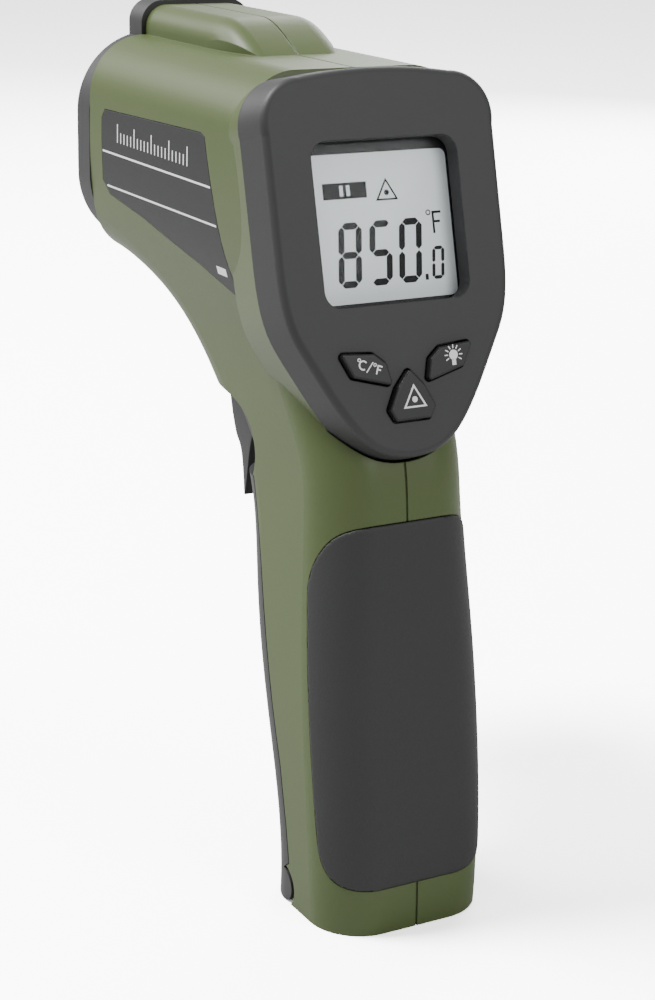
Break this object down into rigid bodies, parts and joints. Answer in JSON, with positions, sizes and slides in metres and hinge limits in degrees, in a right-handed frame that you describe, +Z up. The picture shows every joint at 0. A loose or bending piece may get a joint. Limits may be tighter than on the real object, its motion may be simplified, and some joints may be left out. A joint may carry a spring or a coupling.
{
  "type": "infrared thermometer",
  "caption": "Pistol-grip infrared thermometer in olive green and dark grey, with a trigger, display, keys and a hinged battery door.",
  "frame": {"origin": "centre of the flat base of the handle", "axes": "+Z up, +Y towards the nose, +X to the right of a person reading the display"},
  "size_m": [0.046, 0.0983, 0.1543],
  "materials": {
    "housing_green": "satin moulded plastic",
    "trim_plastic": "fine matte moulded plastic",
    "dark_plastic": "matte moulded plastic",
    "key_plastic": "satin moulded plastic",
    "pad_rubber": "soft matte rubber",
    "black_rubber": "matte rubber",
    "label_film": "matte printed film",
    "clear_plastic": "clear polished",
    "display_glass": "smooth",
    "white_plastic": "satin",
    "circuit_board": "solder mask",
    "black_epoxy": "moulded epoxy",
    "screw_steel": "zinc plated",
    "spring_steel": "nickel plated",
    "cell_jacket": "printed sleeve",
    "lens_plastic": "milky polyethylene",
    "sensor_metal": "turned",
    "laser_brass": "turned",
    "wire_cover": "soft vinyl"
  },
  "bodies": {
    "body": {"left_housing": "housing_green", "right_housing": "housing_green", "nose_cap": "trim_plastic", "display_bezel": "trim_plastic", "lcd_window": "clear_plastic", "lcd_panel": "display_glass", "backlight_panel": "white_plastic", "zebra_connector": "black_rubber", "lcd_frame": "dark_plastic", "main_board": "circuit_board", "control_chips": "black_epoxy", "buzzer": "dark_plastic", "board_screws": "screw_steel", "key_switches": "screw_steel", "grip_pad": "pad_rubber", "left_label": "label_film", "right_label": "label_film", "trigger_pin": "screw_steel", "trigger_spring": "spring_steel", "trigger_switch": "dark_plastic", "trigger_well": "dark_plastic", "door_hinge_pin": "screw_steel", "battery_tray": "dark_plastic", "battery_1": "cell_jacket", "battery_2": "cell_jacket", "spring_contacts": "spring_steel", "plate_contacts": "spring_steel", "housing_screws": "screw_steel", "lens_barrel": "dark_plastic", "fresnel_lens": "lens_plastic", "lens_ring": "dark_plastic", "sensor_block": "sensor_metal", "thermopile_sensor": "sensor_metal", "sensor_board": "circuit_board", "laser_module": "laser_brass", "laser_window": "clear_plastic", "battery_wires": "wire_cover", "sensor_wires": "wire_cover", "laser_wires": "wire_cover", "switch_wires": "wire_cover"},
    "trigger": {"trigger": "trim_plastic"},
    "unit_key": {"unit_key": "key_plastic"},
    "laser_key": {"laser_key": "key_plastic"},
    "light_key": {"light_key": "key_plastic"},
    "battery_door": {"battery_door": "trim_plastic"}
  },
  "joints": [
    {"name": "trigger_pull", "type": "hinge", "parent": "body", "child": "trigger", "pos_m": [0, 0.0365, 0.0965], "axis": [-1, 0, 0], "range_deg": [0, 6], "deforming": ["trigger_spring"]},
    {"name": "unit_key_press", "type": "slide", "parent": "body", "child": "unit_key", "axis": [0, 0.9673, -0.2538], "range_m": [0, 0.0008]},
    {"name": "laser_key_press", "type": "slide", "parent": "body", "child": "laser_key", "axis": [0, 0.9673, -0.2538], "range_m": [0, 0.0008]},
    {"name": "light_key_press", "type": "slide", "parent": "body", "child": "light_key", "axis": [0, 0.9673, -0.2538], "range_m": [0, 0.0008]},
    {"name": "door_swing", "type": "hinge", "parent": "body", "child": "battery_door", "pos_m": [0, 0.0055, 0.0033], "axis": [-1, 0, 0], "range_deg": [0, 65]}
  ]
}
